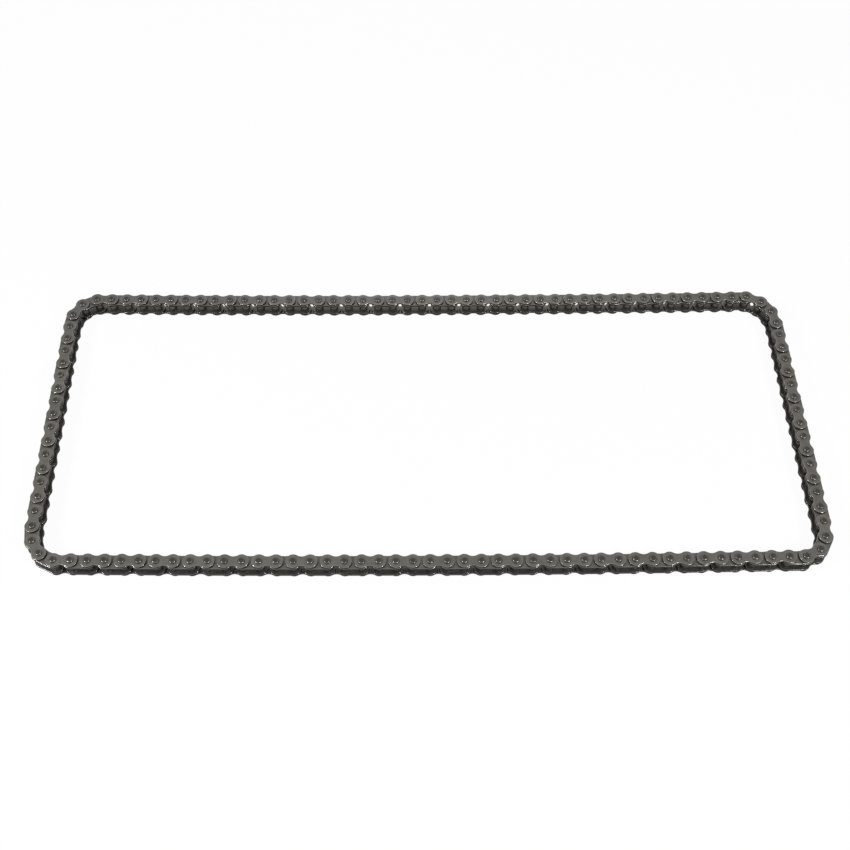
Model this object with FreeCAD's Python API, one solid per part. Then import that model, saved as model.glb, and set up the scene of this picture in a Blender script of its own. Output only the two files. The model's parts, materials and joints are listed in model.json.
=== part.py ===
import FreeCAD, Part
import math
import os

# Endless simplex bush chain for an engine's timing drive, laid flat as a rounded rectangle.
# Units are millimetres and degrees. +Z is up, along the pins, and the pins' lower ends lie on Z = 0.
# The origin is below the middle of the loop. +X runs along the long strands and +Y points to the back one.

# Chain standard
pitch = 9.525
inner_width = 5.9
side_clearance = 0.10

# Pins and their riveted heads
pin_diameter = 3.58
head_diameter = 4.1
head_flat_diameter = 2.6
head_land = 0.20
head_height = 1.0

# Bushes, pressed into the inner plates and turning on the pins
running_clearance = 0.05
bush_wall = 0.70
bush_projection = 0.05

# Outer plates, waisted on both edges
outer_plate_height = 8.45
outer_waist_height = 5.8
outer_plate_thickness = 1.15

# Inner plates, straight on the edge outside the loop and waisted on the edge inside it
inner_plate_height = 8.9
inner_waist_depth = 0.75
inner_plate_thickness = 1.4

# How the loop lies: links of a long strand, links of a side, and the sag of both strands towards the front
strand_links = 44
side_links = 15
strand_sag = 1.75

# Headings of the links round the loop, clockwise from +X, where they leave the back strand and the right side
back_corner_headings = (26.5, 56.0, 80.5)
side_heading = 89.2
front_corner_headings = (93.5, 119.5, 154.5)

# Runs of links that swing as one, clockwise from the back strand's first link, with their number of links
end_links = 6
swing_links = 12
side_swing_links = 7

# Sizes that follow from those above
pin_radius = pin_diameter / 2
bush_bore_radius = pin_radius + running_clearance
bush_radius = bush_bore_radius + bush_wall
outer_plate_gap = inner_width + 2 * (inner_plate_thickness + side_clearance)
overall_height = outer_plate_gap + 2 * (outer_plate_thickness + head_height)
middle = overall_height / 2
corner_links = len(back_corner_headings)
strand_middle_links = strand_links - 2 * (end_links + swing_links)
side_rest_links = side_links - 2 * side_swing_links


def strand_headings():
    """Headings of a strand's links from left to right: an even curve that sags towards the front."""
    # A shallow arc whose sag is s over a chord c ends at a slope of about 4 s / c.
    end_slope = math.degrees(4 * strand_sag / (strand_links * pitch))
    step = 2 * end_slope / strand_links
    return [-end_slope + step * (index + 0.5) for index in range(strand_links)]


def link_headings():
    """Counter-clockwise headings of all links, met while going clockwise round the loop."""
    strand = strand_headings()
    side = [-heading for heading in back_corner_headings]
    side += [-side_heading] * side_links
    side += [-heading for heading in front_corner_headings]
    front = [heading - 180 for heading in reversed(strand)]
    return strand + side + front + [heading - 180 for heading in side]


def pin_places(headings):
    """Plan position of each pin, centred on the loop's box. Link i runs from pin i to pin i + 1."""
    x, y = 0.0, 0.0
    places = []
    for heading in headings:
        places.append((x, y))
        x += pitch * math.cos(math.radians(heading))
        y += pitch * math.sin(math.radians(heading))
    xs = [place[0] for place in places]
    ys = [place[1] for place in places]
    centre_x = (min(xs) + max(xs)) / 2
    centre_y = (min(ys) + max(ys)) / 2
    return [(px - centre_x, py - centre_y) for px, py in places]


def run_lengths():
    """Name and number of links of each swinging run, in order round the loop from the back strand."""
    return [
        ("back_left_corner", end_links),
        ("back_left_run", swing_links),
        ("back_middle_run", strand_middle_links),
        ("back_right_run", swing_links),
        ("back_right_corner", end_links + corner_links),
        ("right_side_back", side_swing_links),
        ("right_side_front", side_swing_links),
        ("front_right_corner", side_rest_links + corner_links + end_links),
        ("front_right_run", swing_links),
        ("front_middle_run", strand_middle_links),
        ("front_left_run", swing_links),
        ("front_left_corner", end_links + corner_links + side_rest_links),
        ("left_side_front", side_swing_links),
        ("left_side_back", side_swing_links),
        ("back_left_corner", corner_links),
    ]


def links_of_runs():
    """The link numbers of each run."""
    runs = {}
    first = 0
    for name, count in run_lengths():
        runs.setdefault(name, []).extend(range(first, first + count))
        first += count
    return runs


def waist_arc(end_radius, waist_half, side):
    """Concave edge between the two round ends, tangent to both: its ends and middle point."""
    half = pitch / 2
    radius = (half ** 2 + waist_half ** 2 - end_radius ** 2) / (2 * (end_radius - waist_half))
    centre = FreeCAD.Vector(half, side * (waist_half + radius), 0)
    share = end_radius / (end_radius + radius)
    left = FreeCAD.Vector(share * centre.x, share * centre.y, 0)
    right = FreeCAD.Vector(pitch - left.x, left.y, 0)
    return left, FreeCAD.Vector(half, side * waist_half, 0), right


def straight_edge(end_radius, side):
    """Straight edge tangent to both round ends."""
    return FreeCAD.Vector(0, side * end_radius, 0), None, FreeCAD.Vector(pitch, side * end_radius, 0)


def edge_between(left, middle_point, right):
    """One long edge of a plate, an arc through its middle point or a line if it has none."""
    if middle_point is None:
        return Part.LineSegment(left, right).toShape()
    return Part.Arc(left, middle_point, right).toShape()


def link_plate(end_radius, upper_edge, lower_edge, hole_radius, thickness):
    """Plate with two round ends about its holes at X = 0 and X = pitch, standing on Z = 0."""
    left_end = Part.Arc(upper_edge[0], FreeCAD.Vector(-end_radius, 0, 0), lower_edge[0])
    right_end = Part.Arc(lower_edge[2], FreeCAD.Vector(pitch + end_radius, 0, 0), upper_edge[2])
    outline = Part.Wire([
        left_end.toShape(),
        edge_between(*lower_edge),
        right_end.toShape(),
        edge_between(*upper_edge),
    ])
    plate = Part.Face(outline).extrude(FreeCAD.Vector(0, 0, thickness))
    for x in (0, pitch):
        plate = plate.cut(Part.makeCylinder(hole_radius, thickness, FreeCAD.Vector(x, 0, 0)))
    return plate


def outer_plate():
    """Outer plate, with holes that grip the pins."""
    end_radius = outer_plate_height / 2
    upper = waist_arc(end_radius, outer_waist_height / 2, 1)
    lower = waist_arc(end_radius, outer_waist_height / 2, -1)
    return link_plate(end_radius, upper, lower, pin_radius, outer_plate_thickness)


def inner_plate():
    """Inner plate, with holes that grip the bushes. Its +Y edge lies outside the loop."""
    end_radius = inner_plate_height / 2
    back = straight_edge(end_radius, 1)
    waist = waist_arc(end_radius, end_radius - inner_waist_depth, -1)
    return link_plate(end_radius, back, waist, bush_radius, inner_plate_thickness)


def bush():
    """Plain bush at X = 0, centred on the chain's mid-plane."""
    length = inner_width + 2 * (inner_plate_thickness + bush_projection)
    base = FreeCAD.Vector(0, 0, middle - length / 2)
    sleeve = Part.makeCylinder(bush_radius, length, base)
    return sleeve.cut(Part.makeCylinder(bush_bore_radius, length, base))


def pin():
    """Pin at X = 0 with both ends riveted over: a shank and two crowned heads, turned as one profile."""
    head_radius = head_diameter / 2
    flat_radius = head_flat_diameter / 2
    face = head_height
    top_face = overall_height - head_height
    shoulder_radius = (head_radius + flat_radius) / 2 + (head_radius - flat_radius) / 6
    shoulder_height = head_land + (head_height - head_land) * 0.62

    def at(radius, z):
        return FreeCAD.Vector(radius, 0, z)

    def head(direction, face_z):
        """Edges of one head, from the shank outwards and over the crown to the flat."""
        land = face_z + direction * head_land
        shoulder = face_z + direction * shoulder_height
        end = face_z + direction * head_height
        return [
            Part.LineSegment(at(pin_radius, face_z), at(head_radius, face_z)).toShape(),
            Part.LineSegment(at(head_radius, face_z), at(head_radius, land)).toShape(),
            Part.Arc(at(head_radius, land), at(shoulder_radius, shoulder), at(flat_radius, end)).toShape(),
            Part.LineSegment(at(flat_radius, end), at(0, end)).toShape(),
        ]

    edges = head(-1, face) + head(1, top_face)
    edges.append(Part.LineSegment(at(pin_radius, face), at(pin_radius, top_face)).toShape())
    edges.append(Part.LineSegment(at(0, 0), at(0, overall_height)).toShape())
    profile = Part.Face(Part.Wire(Part.__sortEdges__(edges)))
    return profile.revolve(FreeCAD.Vector(0, 0, 0), FreeCAD.Vector(0, 0, 1), 360)


def placed(shape, place, heading, x=0.0, z=0.0):
    """A copy of a link's piece: moved by x along the link and up by z, then set on the link's first pin."""
    turn = FreeCAD.Rotation(FreeCAD.Vector(0, 0, 1), heading)
    start = FreeCAD.Vector(place[0], place[1], z)
    along = turn.multVec(FreeCAD.Vector(x, 0, 0))
    copy = shape.copy()
    copy.Placement = FreeCAD.Placement(start + along, turn)
    return copy


def link_pieces():
    """The pieces of an outer and an inner link, each with its lifts and its places along the link."""
    outer_offset = outer_plate_gap / 2
    inner_offset = inner_width / 2
    outer_lifts = (middle - outer_offset - outer_plate_thickness, middle + outer_offset)
    inner_lifts = (middle - inner_offset - inner_plate_thickness, middle + inner_offset)
    outer_link = {
        "outer_plates": (outer_plate(), outer_lifts, (0,)),
        "pins": (pin(), (0,), (0, pitch)),
    }
    inner_link = {
        "inner_plates": (inner_plate(), inner_lifts, (0,)),
        "bushes": (bush(), (0,), (0, pitch)),
    }
    return outer_link, inner_link


def build_nodes():
    """Every node's solids: one group of plates, pins or bushes for each swinging run."""
    headings = link_headings()
    places = pin_places(headings)
    outer_link, inner_link = link_pieces()
    nodes = {}
    for run, links in links_of_runs().items():
        for link in links:
            # Even links are outer links, odd ones are inner links.
            pieces = outer_link if link % 2 == 0 else inner_link
            for kind, (shape, lifts, offsets) in pieces.items():
                solids = nodes.setdefault(run + "_" + kind, [])
                for z in lifts:
                    solids += [placed(shape, places[link], headings[link], x, z) for x in offsets]
    return nodes


def main():
    os.makedirs("parts", exist_ok=True)
    for name, solids in build_nodes().items():
        Part.makeCompound(solids).exportStep(os.path.join("parts", name + ".step"))


if __name__ == "__main__":
    main()
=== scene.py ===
import json
import math

import bmesh
import bpy
import numpy as np
from mathutils import Matrix, Vector
from mathutils.geometry import tessellate_polygon

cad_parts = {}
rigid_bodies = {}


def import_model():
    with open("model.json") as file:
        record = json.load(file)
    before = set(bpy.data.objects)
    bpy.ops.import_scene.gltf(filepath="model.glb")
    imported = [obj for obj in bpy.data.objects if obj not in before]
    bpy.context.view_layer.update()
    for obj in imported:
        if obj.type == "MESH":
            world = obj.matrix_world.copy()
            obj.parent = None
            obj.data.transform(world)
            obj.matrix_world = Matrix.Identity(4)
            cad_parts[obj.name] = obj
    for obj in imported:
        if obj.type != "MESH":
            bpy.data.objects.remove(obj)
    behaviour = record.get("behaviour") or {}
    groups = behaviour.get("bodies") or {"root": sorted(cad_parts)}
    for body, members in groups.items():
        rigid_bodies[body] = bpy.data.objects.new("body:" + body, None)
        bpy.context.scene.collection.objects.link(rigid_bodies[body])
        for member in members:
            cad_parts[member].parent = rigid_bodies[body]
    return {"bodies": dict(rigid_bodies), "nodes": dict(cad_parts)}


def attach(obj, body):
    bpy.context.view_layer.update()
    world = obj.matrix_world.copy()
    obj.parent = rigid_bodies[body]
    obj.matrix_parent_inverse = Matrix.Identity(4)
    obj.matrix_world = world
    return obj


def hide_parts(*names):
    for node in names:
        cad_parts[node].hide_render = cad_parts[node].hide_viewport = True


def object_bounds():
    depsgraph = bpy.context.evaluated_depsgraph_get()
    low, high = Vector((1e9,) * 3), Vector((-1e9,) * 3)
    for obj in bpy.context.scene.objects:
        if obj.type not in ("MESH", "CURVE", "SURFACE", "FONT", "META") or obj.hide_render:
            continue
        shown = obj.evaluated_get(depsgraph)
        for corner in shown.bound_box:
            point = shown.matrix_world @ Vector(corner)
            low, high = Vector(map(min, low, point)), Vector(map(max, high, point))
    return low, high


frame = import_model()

cad_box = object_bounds()

# An endless bush chain: its plates, pins and bushes are made anew at the places of the frame's solids.
# Lengths are in metres and angles in degrees. A radiance of 1 is white.
MM = 0.001
SAME_POINT = 1e-6
WHITE = (1.0, 1.0, 1.0, 1.0)

# Punched plates: half-widths at the waist, and how far their edges are rounded, sharply on the side towards
# the chain's middle and rolled over on the other. Holes have a share of that, and edges wear a band of the face.
OUTER_WAIST = 2.9 * MM
INNER_WAIST = 3.7 * MM
SHARP_EDGE = 0.15 * MM
ROLLED_EDGE = 0.26 * MM
HOLE_EDGE_SHARE = 0.5
WORN_BAND = 0.15 * MM

# Pins: their shank, the riveted head's land, flat and height, and the broken edge below the land
SHANK_RADIUS = 1.79 * MM
HEAD_LAND = 0.20 * MM
HEAD_FLAT = 1.3 * MM
HEAD_HEIGHT = 1.0 * MM
HEAD_BREAK = 0.05 * MM

# Bushes
BUSH_BORE = 1.84 * MM
BUSH_CHAMFER = 0.12 * MM

# Fineness of the round shapes: steps in a turn, degrees in an arc's step, steps over an edge and over a head
TURN_STEPS = 32
ARC_STEP = 9.0
EDGE_STEPS = 4
CROWN_STEPS = 6

# Steel: its specular level, the film of oil on it, and the bump of its grain
STEEL_SPECULAR = 0.25
OIL_WEIGHT = 0.1
OIL_ROUGHNESS = 0.15
BUMP_STRENGTH = 0.25
BUMP_HEIGHT = 0.02 * MM

# Its patterns as scale per millimetre and detail, how far brushing is drawn out, and how far apart pieces lie
BRUSHING = (6.0, 3.0)
STAINS = (0.35, 4.0)
SPECKLE = (9.0, 2.0)
BRUSH_STRETCH = (0.18, 1.6, 1.6)
PATTERN_REACH = 100

# What the patterns and each piece's own tint do to the colour, as factors, and brushing to the roughness
STAIN_SHADES = (0.66, 1.36)
TINT_SHADES = (0.93, 1.07)
SPECKLE_SHADES = (0.86, 1.14)
BRUSH_ROUGHNESS = 0.14

# Factors for the punched side walls beside the flat faces, whose colour is darkened as painted shade, and for
# edges worn bright, least where stains are dark
WALL_PAINTED_SHADE = 0.06
WALL_ROUGHNESS = 1.5
WORN_SHADE = 1.7
WORN_ROUGHNESS = 0.6
WORN_LEAST = 0.4

# The floor: its half-width, the grey of its paper, and the share of plain white that camera and reflections see
FLOOR_HALF = 6.0
FLOOR_PAPER = 0.80
FLOOR_WHITE = 0.96

# The strength of the white surroundings as light and as seen
WORLD_LIGHT = 0.25
WORLD_SEEN = 1.0

# The camera, fitted to the pins and aimed at the plane of the upper outer plates' faces
CAMERA_AIM = (-0.53 * MM, -4.18 * MM)
CAMERA_ELEVATION = 56.86
CAMERA_YAW = -0.415
CAMERA_ROLL = 0.072
CAMERA_DISTANCE = 680.5 * MM
CAMERA_LENS = 48.21
CAMERA_SENSOR = 36.0

rng = np.random.default_rng(7)


# The solids of the frame

def solids(node):
    """Vertices of each separate solid of a CAD node, as one array per solid, always in the same order."""
    mesh = bmesh.new()
    mesh.from_mesh(frame["nodes"][node].data)
    bmesh.ops.remove_doubles(mesh, verts=mesh.verts, dist=SAME_POINT)
    found = []
    unseen = dict.fromkeys(mesh.verts)
    while unseen:
        stack = [unseen.popitem()[0]]
        solid = []
        while stack:
            vertex = stack.pop()
            solid.append(vertex.co.copy())
            for edge in vertex.link_edges:
                other = edge.other_vert(vertex)
                if other in unseen:
                    del unseen[other]
                    stack.append(other)
        found.append(np.array(solid))
    mesh.free()
    return found


def middle(solid):
    """Middle of a solid's box."""
    return (solid.min(0) + solid.max(0)) / 2


def link_place(plate, centres):
    """Middle of a plate's link in plan, its direction with the loop's outside on the left, and its pitch."""
    near = sorted(centres, key=lambda centre: np.hypot(*(centre - middle(plate))[:2]))[:2]
    start, end = near[0][:2], near[1][:2]
    pitch = np.hypot(*(end - start))
    along = (end - start) / pitch
    centre = (start + end) / 2
    outside = np.array([-along[1], along[0]])
    if outside @ centre < 0:
        along = -along
    return centre, along, pitch


# Shapes of the pieces. Each is a dictionary of points, faces, whether each face is smooth, and masks
# that give the material a value at each point: worn and wall on plates, capped on pins.

def edge_profile(thickness, low_edge, high_edge):
    """Inset and height of a plate's side, from the worn band of its lower face to that of its upper one."""
    leans = np.radians(np.linspace(0, 90, EDGE_STEPS + 1))
    low = [(low_edge * (1 - math.sin(a)), low_edge * (1 - math.cos(a))) for a in leans]
    high = [(high_edge * (1 - math.sin(a)), thickness - high_edge * (1 - math.cos(a))) for a in reversed(leans)]
    return [(low_edge + WORN_BAND, 0.0), *low, *high, (high_edge + WORN_BAND, thickness)]


def arc(centre, radius, start, end):
    """Points of an arc and the directions away from its centre."""
    count = max(2, math.ceil(abs(end - start) / ARC_STEP))
    angles = np.radians(np.linspace(start, end, count + 1))
    away = np.column_stack([np.cos(angles), np.sin(angles)])
    return np.array(centre) + radius * away, away


def waist(half_pitch, end_radius, waist_half, side):
    """Concave arc of a plate's waist on the side +1 or -1, counter-clockwise round the plate, and its lean."""
    radius = (half_pitch ** 2 + waist_half ** 2 - end_radius ** 2) / (2 * (end_radius - waist_half))
    lean = math.degrees(math.atan2(half_pitch, waist_half + radius))
    centre = (0, side * (waist_half + radius))
    points, away = arc(centre, radius, -90 * side + lean, -90 * side - lean)
    return points, -away, lean


def plate_outline(half_pitch, end_radius, half_widths):
    """Outline of a plate, counter-clockwise about its middle, with its outward normals.

    The half-widths are those at the waists outside the loop, on the side of +Y, and inside it."""
    leans, edges = {}, {}
    for side, half_width in zip((1, -1), half_widths):
        leans[side], edges[side] = 0.0, []
        if half_width < end_radius:
            points, normals, leans[side] = waist(half_pitch, end_radius, half_width, side)
            edges[side] = [(points[1:-1], normals[1:-1])]
    right = arc((half_pitch, 0), end_radius, -90 - leans[-1], 90 + leans[1])
    left = arc((-half_pitch, 0), end_radius, 90 - leans[1], 270 + leans[-1])
    parts = [right, *edges[1], left, *edges[-1]]
    return [np.vstack(values) for values in zip(*parts)]


def rings_between(first, second, count):
    """Quads between two closed rings of count points that start at the given numbers."""
    return [
        (first + i, first + (i + 1) % count, second + (i + 1) % count, second + i)
        for i in range(count)
    ]


def flat_face(points, rings, upward):
    """Triangles between an outline and its holes, each given as a ring of point numbers."""
    numbers = [number for ring in rings for number in ring]
    triangles = []
    for triangle in tessellate_polygon([[Vector(points[number]) for number in ring] for ring in rings]):
        a, b, c = (Vector(points[numbers[i]]) for i in triangle)
        if ((b - a).cross(c - a).z > 0) != upward:
            triangle = triangle[::-1]
        triangles.append(tuple(numbers[i] for i in triangle))
    return triangles


def plate_shape(half_pitch, end_radius, half_widths, hole_radius, thickness):
    """An upper plate on Z = 0 with two holes, its lower edges sharp and its upper ones rolled over."""
    profile = edge_profile(thickness, SHARP_EDGE, ROLLED_EDGE)
    loops = [(*plate_outline(half_pitch, end_radius, half_widths), 1.0)]
    for x in (-half_pitch, half_pitch):
        rim, away = arc((x, 0), hole_radius, 360, 0)
        loops.append((rim[:-1], -away[:-1], HOLE_EDGE_SHARE))
    points, faces, worn, wall = [], [], [], []
    ends = {0: [], len(profile) - 1: []}
    for loop, outward, share in loops:
        count = len(loop)
        for level, (inset, height) in enumerate(profile):
            first = len(points)
            points += [(x, y, height) for x, y in loop - outward * inset * share]
            worn += [float(inset > 0 and level not in ends)] * count
            wall += [float(inset == 0)] * count
            if level:
                faces += rings_between(first - count, first, count)
            if level in ends:
                ends[level].append(range(first, first + count))
    smooth = [True] * len(faces)
    for level, rings in ends.items():
        flat = flat_face(points, rings, level > 0)
        faces += flat
        smooth += [False] * len(flat)
    return {"points": np.array(points), "faces": faces, "smooth": smooth, "masks": {"worn": worn, "wall": wall}}


def mirrored(shape, height):
    """The same shape upside down, mirrored at half its height."""
    points = shape["points"].copy()
    points[:, 2] = height - points[:, 2]
    return {**shape, "points": points, "faces": [face[::-1] for face in shape["faces"]]}


def turned_shape(profile, closed=False, **profile_masks):
    """A shape turned about Z from (radius, height) points, upwards on its outside, with masks for these points."""
    angles = np.linspace(0, 2 * math.pi, TURN_STEPS, endpoint=False)
    points, faces, rings = [], [], []
    masks = {label: [] for label in profile_masks}
    for number, (radius, height) in enumerate(profile):
        # On the axis there is a single point.
        around = angles if radius else angles[:1]
        rings.append(range(len(points), len(points) + len(around)))
        points += [(radius * math.cos(a), radius * math.sin(a), height) for a in around]
        for label, values in profile_masks.items():
            masks[label] += [values[number]] * len(around)
    if closed:
        rings.append(rings[0])
    for low, high in zip(rings, rings[1:]):
        for i in range(TURN_STEPS):
            corners = ((low, i), (low, i + 1), (high, i + 1), (high, i))
            # Beside the axis two corners are the same point, which is left in once.
            faces.append(tuple(dict.fromkeys(ring[k % len(ring)] for ring, k in corners)))
    return {"points": np.array(points), "faces": faces, "smooth": [True] * len(faces), "masks": masks}


def pin_shape(length, head_radius):
    """A pin on Z = 0 with a rounded, riveted head at both ends, capped on its flats."""
    leans = np.radians(np.linspace(0, 90, CROWN_STEPS + 1))
    shoulder = head_radius - HEAD_FLAT
    rise = HEAD_HEIGHT - HEAD_LAND
    crown = [(HEAD_FLAT + shoulder * math.cos(a), HEAD_LAND + rise * math.sin(a)) for a in leans]
    base = [(SHANK_RADIUS, 0.0), (head_radius - HEAD_BREAK, 0.0), (head_radius, HEAD_BREAK)]
    flat = [(HEAD_FLAT / 2, HEAD_HEIGHT), (0.0, HEAD_HEIGHT)]
    head = base + crown + flat
    # The crown's last point is the flat's edge.
    flat_points = len(flat) + 1
    capped = [0.0] * (len(head) - flat_points) + [1.0] * flat_points
    face = length - HEAD_HEIGHT
    upper = [(radius, face + height) for radius, height in head]
    lower = [(radius, HEAD_HEIGHT - height) for radius, height in reversed(head)]
    return turned_shape(lower + upper, capped=capped[::-1] + capped)


def bush_shape(length, radius):
    """A bush on Z = 0, chamfered at both ends."""
    end_radius = radius - BUSH_CHAMFER
    outside = [(end_radius, 0.0), (radius, BUSH_CHAMFER), (radius, length - BUSH_CHAMFER), (end_radius, length)]
    return turned_shape([(BUSH_BORE, 0.0), *outside, (BUSH_BORE, length)], closed=True)


# Building each node's piece from its solids

def gathered(body, kind, copies, material):
    """One object that stands for a CAD node, with a copy of a shape at each of its solids."""
    node = body + "_" + kind
    name = node + "_detailed"
    points, faces, smooth, grain, tint = [], [], [], [], []
    masks = {label: [] for label in copies[0][0]["masks"]}
    count = 0
    for shape, place, along in copies:
        local = shape["points"]
        turn = np.array([[along[0], along[1], 0], [-along[1], along[0], 0], [0, 0, 1]])
        points.append(local @ turn + place)
        faces += [tuple(i + count for i in face) for face in shape["faces"]]
        smooth += shape["smooth"]
        for label, values in shape["masks"].items():
            masks[label] += values
        tint += [rng.uniform()] * len(local)
        grain.append(local / MM + rng.uniform(0, PATTERN_REACH, 3))
        count += len(local)
    mesh = bpy.data.meshes.new(name)
    mesh.from_pydata(np.vstack(points).tolist(), [], faces)
    mesh.polygons.foreach_set("use_smooth", smooth)
    mesh.attributes.new("grain", "FLOAT_VECTOR", "POINT").data.foreach_set("vector", np.vstack(grain).ravel())
    for label, values in {**masks, "tint": tint}.items():
        mesh.attributes.new(label, "FLOAT", "POINT").data.foreach_set("value", values)
    mesh.materials.append(material)
    mesh.update()
    piece = bpy.data.objects.new(name, mesh)
    bpy.context.scene.collection.objects.link(piece)
    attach(piece, body)
    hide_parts(node)


def plates(body, kind, centres, waists, hole_radius, material):
    """The upper and lower plates of one kind in a body. Where a waist is None the edge is straight."""
    found = solids(body + "_" + kind)
    mid_height = np.mean([middle(solid)[2] for solid in found])
    shapes, copies = {}, []
    for solid in found:
        centre, along, pitch = link_place(solid, centres)
        low, high = solid[:, 2].min(), solid[:, 2].max()
        if not shapes:
            end_radius = np.hypot(*(solid[:, :2] - centre).T).max() - pitch / 2
            half_widths = [half_width or end_radius for half_width in waists]
            upper = plate_shape(pitch / 2, end_radius, half_widths, hole_radius, high - low)
            shapes = {True: upper, False: mirrored(upper, high - low)}
        copies.append((shapes[low > mid_height], (*centre, low), along))
    gathered(body, kind, copies, material)


def turned(body, kind, found, make_shape, material):
    """The pins or bushes of a body, each turned at random about its axis. Returns their greatest radius."""
    low, high = found[0][:, 2].min(), found[0][:, 2].max()
    radius = np.hypot(*(found[0] - middle(found[0]))[:, :2].T).max()
    shape = make_shape(high - low, radius)
    copies = []
    for solid in found:
        angle = rng.uniform(0, 2 * math.pi)
        copies.append((shape, (*middle(solid)[:2], low), (math.cos(angle), math.sin(angle))))
    gathered(body, kind, copies, material)
    return radius


# Materials

def combined(tree, operation, first, second):
    """Two values put through a Math node."""
    node = tree.nodes.new("ShaderNodeMath")
    node.operation = operation
    tree.links.new(first, node.inputs[0])
    tree.links.new(second, node.inputs[1])
    return node.outputs[0]


def scaled(tree, value, low, high):
    """A value of 0 to 1 spread from low to high."""
    node = tree.nodes.new("ShaderNodeMapRange")
    node.inputs["To Min"].default_value = low
    node.inputs["To Max"].default_value = high
    tree.links.new(value, node.inputs["Value"])
    return node.outputs["Result"]


def blended(tree, mode, factor, first, second):
    """Two colours put through a Mix node. Each of the three values is plain or comes from a socket."""
    node = tree.nodes.new("ShaderNodeMix")
    node.data_type = "RGBA"
    node.blend_type = mode
    inputs = {socket.identifier: socket for socket in node.inputs}
    for identifier, value in (("Factor_Float", factor), ("A_Color", first), ("B_Color", second)):
        if isinstance(value, bpy.types.NodeSocket):
            tree.links.new(value, inputs[identifier])
        else:
            inputs[identifier].default_value = value
    return {socket.identifier: socket for socket in node.outputs}["Result_Color"]


def shaded(tree, colour, value, low, high):
    """A colour times a value of 0 to 1 that is spread from low to high."""
    return blended(tree, "MULTIPLY", 1.0, colour, scaled(tree, value, low, high))


def attribute(tree, label, output="Fac"):
    """The value of a mesh attribute."""
    node = tree.nodes.new("ShaderNodeAttribute")
    node.attribute_name = label
    return node.outputs[output]


def noise(tree, vector, scale, detail):
    """The value of a noise pattern."""
    node = tree.nodes.new("ShaderNodeTexNoise")
    node.inputs["Scale"].default_value = scale
    node.inputs["Detail"].default_value = detail
    tree.links.new(vector, node.inputs["Vector"])
    return node.outputs["Fac"]


def seen_directly(tree):
    """1 for rays from the camera and for reflected or refracted ones, 0 for those that light a dull surface."""
    path = tree.nodes.new("ShaderNodeLightPath")
    seen = path.outputs["Is Camera Ray"]
    for name in ("Is Glossy Ray", "Is Transmission Ray"):
        seen = combined(tree, "MAXIMUM", seen, path.outputs[name])
    return seen


def steel(name, colour, roughness, metallic, punched=False, cap_colour=None):
    """Oiled steel with a faint grain along the piece, stains and speckle.

    A punched piece has painted shade on its side walls and edges worn bright, and a capped one a dark brown at its
    ends that is a painted dark reflection."""
    material = bpy.data.materials.new(name)
    material.use_nodes = True
    tree = material.node_tree
    shader = tree.nodes["Principled BSDF"]
    shader.inputs["Metallic"].default_value = metallic
    shader.inputs["Specular IOR Level"].default_value = STEEL_SPECULAR
    shader.inputs["Coat Weight"].default_value = OIL_WEIGHT
    shader.inputs["Coat Roughness"].default_value = OIL_ROUGHNESS

    grain = attribute(tree, "grain", "Vector")
    stretch = tree.nodes.new("ShaderNodeMapping")
    stretch.inputs["Scale"].default_value = BRUSH_STRETCH
    tree.links.new(grain, stretch.inputs["Vector"])
    brushed = noise(tree, stretch.outputs["Vector"], *BRUSHING)
    stains = noise(tree, grain, *STAINS)
    speckle = noise(tree, grain, *SPECKLE)

    shade = shaded(tree, (*colour, 1.0), stains, *STAIN_SHADES)
    shade = shaded(tree, shade, attribute(tree, "tint"), *TINT_SHADES)
    # Painted dark reflection: the flats of the pins' ends take a dark brown.
    if cap_colour:
        shade = blended(tree, "MIX", attribute(tree, "capped"), shade, (*cap_colour, 1.0))
    shade = shaded(tree, shade, speckle, *SPECKLE_SHADES)
    rough = scaled(tree, brushed, roughness - BRUSH_ROUGHNESS, roughness + BRUSH_ROUGHNESS)

    if punched:
        worn, wall = attribute(tree, "worn"), attribute(tree, "wall")
        rubbed = combined(tree, "MULTIPLY", worn, scaled(tree, stains, WORN_LEAST, 1.0))
        bright = tuple(WORN_SHADE * part for part in colour)
        # Painted shade: the side walls' colour is darkened to a small share of the steel's colour.
        shade = shaded(tree, shade, wall, 1.0, WALL_PAINTED_SHADE)
        shade = blended(tree, "MIX", rubbed, shade, (*bright, 1.0))
        rough = combined(tree, "MULTIPLY", rough, scaled(tree, worn, 1.0, WORN_ROUGHNESS))
        rough = combined(tree, "MULTIPLY", rough, scaled(tree, wall, 1.0, WALL_ROUGHNESS))
        tree.links.new(scaled(tree, rubbed, metallic, 1.0), shader.inputs["Metallic"])
    tree.links.new(shade, shader.inputs["Base Color"])
    tree.links.new(rough, shader.inputs["Roughness"])

    bump = tree.nodes.new("ShaderNodeBump")
    bump.inputs["Strength"].default_value = BUMP_STRENGTH
    bump.inputs["Distance"].default_value = BUMP_HEIGHT
    tree.links.new(blended(tree, "MIX", 0.5, brushed, speckle), bump.inputs["Height"])
    tree.links.new(bump.outputs["Normal"], shader.inputs["Normal"])
    return material


# The flats of the pins' ends are painted dark brown: a painted dark reflection on them.
PIN_END_PAINTED_BROWN = (0.060, 0.050, 0.042)
OUTER_STEEL = steel("outer_plate_steel", (0.123, 0.118, 0.107), roughness=0.38, metallic=0.88, punched=True)
INNER_STEEL = steel("inner_plate_steel", (0.104, 0.099, 0.090), roughness=0.40, metallic=0.88, punched=True)
BUSH_STEEL = steel("bush_steel", (0.105, 0.100, 0.092), roughness=0.46, metallic=0.88)
PIN_STEEL = steel("pin_steel", (0.100, 0.094, 0.086), roughness=0.24, metallic=0.9, cap_colour=PIN_END_PAINTED_BROWN)

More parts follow.
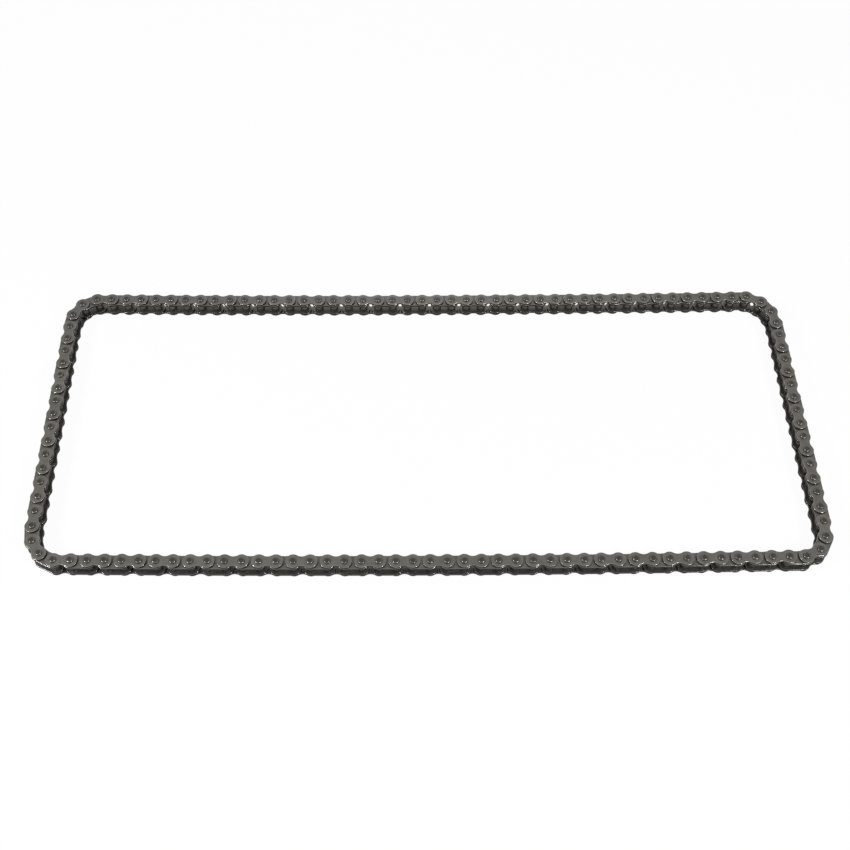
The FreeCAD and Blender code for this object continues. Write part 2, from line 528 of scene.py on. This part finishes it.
for body_name in frame["bodies"]:
    pins = solids(body_name + "_pins")
    bushes = solids(body_name + "_bushes")
    turned(body_name, "pins", pins, pin_shape, PIN_STEEL)
    bush_radius = turned(body_name, "bushes", bushes, bush_shape, BUSH_STEEL)
    pin_centres = [middle(pin) for pin in pins]
    bush_centres = [middle(bush) for bush in bushes]
    plates(body_name, "outer_plates", pin_centres, (OUTER_WAIST, OUTER_WAIST), SHANK_RADIUS, OUTER_STEEL)
    plates(body_name, "inner_plates", bush_centres, (None, INNER_WAIST), bush_radius, INNER_STEEL)


# Stage, light and camera

def floor():
    """A large white floor that keeps a faint shadow."""
    mesh = bpy.data.meshes.new("floor")
    corners = [(x * FLOOR_HALF, y * FLOOR_HALF, 0) for x, y in ((-1, -1), (1, -1), (1, 1), (-1, 1))]
    mesh.from_pydata(corners, [], [(0, 1, 2, 3)])
    plane = bpy.data.objects.new("floor", mesh)
    bpy.context.scene.collection.objects.link(plane)
    material = bpy.data.materials.new("floor_paper")
    material.use_nodes = True
    tree = material.node_tree
    tree.nodes.remove(tree.nodes["Principled BSDF"])
    paper = tree.nodes.new("ShaderNodeBsdfDiffuse")
    paper.inputs["Color"].default_value = (FLOOR_PAPER, FLOOR_PAPER, FLOOR_PAPER, 1.0)
    white = tree.nodes.new("ShaderNodeEmission")
    white.inputs["Color"].default_value = WHITE
    white.inputs["Strength"].default_value = 1.0
    mix = tree.nodes.new("ShaderNodeMixShader")
    tree.links.new(scaled(tree, seen_directly(tree), 0.0, FLOOR_WHITE), mix.inputs["Fac"])
    tree.links.new(paper.outputs["BSDF"], mix.inputs[1])
    tree.links.new(white.outputs["Emission"], mix.inputs[2])
    tree.links.new(mix.outputs["Shader"], tree.nodes["Material Output"].inputs["Surface"])
    mesh.materials.append(material)


def softbox(name, azimuth, elevation, distance, size, radiance):
    """A rectangular lamp that faces the chain's middle. Azimuth 0 is in front of it, 90 to its right."""
    lamp = bpy.data.lights.new(name, "AREA")
    lamp.shape = "RECTANGLE"
    lamp.size, lamp.size_y = size
    lamp.energy = radiance * math.pi * size[0] * size[1]
    holder = bpy.data.objects.new(name, lamp)
    bpy.context.scene.collection.objects.link(holder)
    heading = Matrix.Rotation(math.radians(azimuth), 4, "Z")
    tilt = Matrix.Rotation(math.radians(90 - elevation), 4, "X")
    holder.matrix_world = heading @ tilt @ Matrix.Translation((0, 0, distance))


def world():
    """An even, white surrounding."""
    surrounding = bpy.data.worlds.new("studio")
    bpy.context.scene.world = surrounding
    surrounding.use_nodes = True
    tree = surrounding.node_tree
    background = tree.nodes["Background"]
    background.inputs["Color"].default_value = WHITE
    strength = scaled(tree, seen_directly(tree), WORLD_LIGHT, WORLD_SEEN)
    tree.links.new(strength, background.inputs["Strength"])


def camera():
    """The photograph's view: nearly square on to the front strand, from well above."""
    lens = bpy.data.cameras.new("camera")
    lens.lens = CAMERA_LENS
    lens.sensor_width = CAMERA_SENSOR
    holder = bpy.data.objects.new("camera", lens)
    bpy.context.scene.collection.objects.link(holder)
    target = Matrix.Translation((*CAMERA_AIM, cad_box[1][2] - HEAD_HEIGHT))
    yaw = Matrix.Rotation(math.radians(CAMERA_YAW), 4, "Z")
    tilt = Matrix.Rotation(math.radians(90 - CAMERA_ELEVATION), 4, "X")
    roll = Matrix.Rotation(math.radians(CAMERA_ROLL), 4, "Z")
    holder.matrix_world = target @ yaw @ tilt @ roll @ Matrix.Translation((0, 0, CAMERA_DISTANCE))
    bpy.context.scene.camera = holder


floor()
world()
softbox("left_lamp", azimuth=-70, elevation=40, distance=1.0, size=(0.20, 0.20), radiance=52.0)
softbox("right_lamp", azimuth=46, elevation=40, distance=1.0, size=(0.20, 0.20), radiance=52.0)
softbox("rear_lamp", azimuth=180, elevation=42, distance=1.5, size=(0.6, 0.3), radiance=1.6)
camera()
bpy.context.scene.view_settings.view_transform = "Standard"
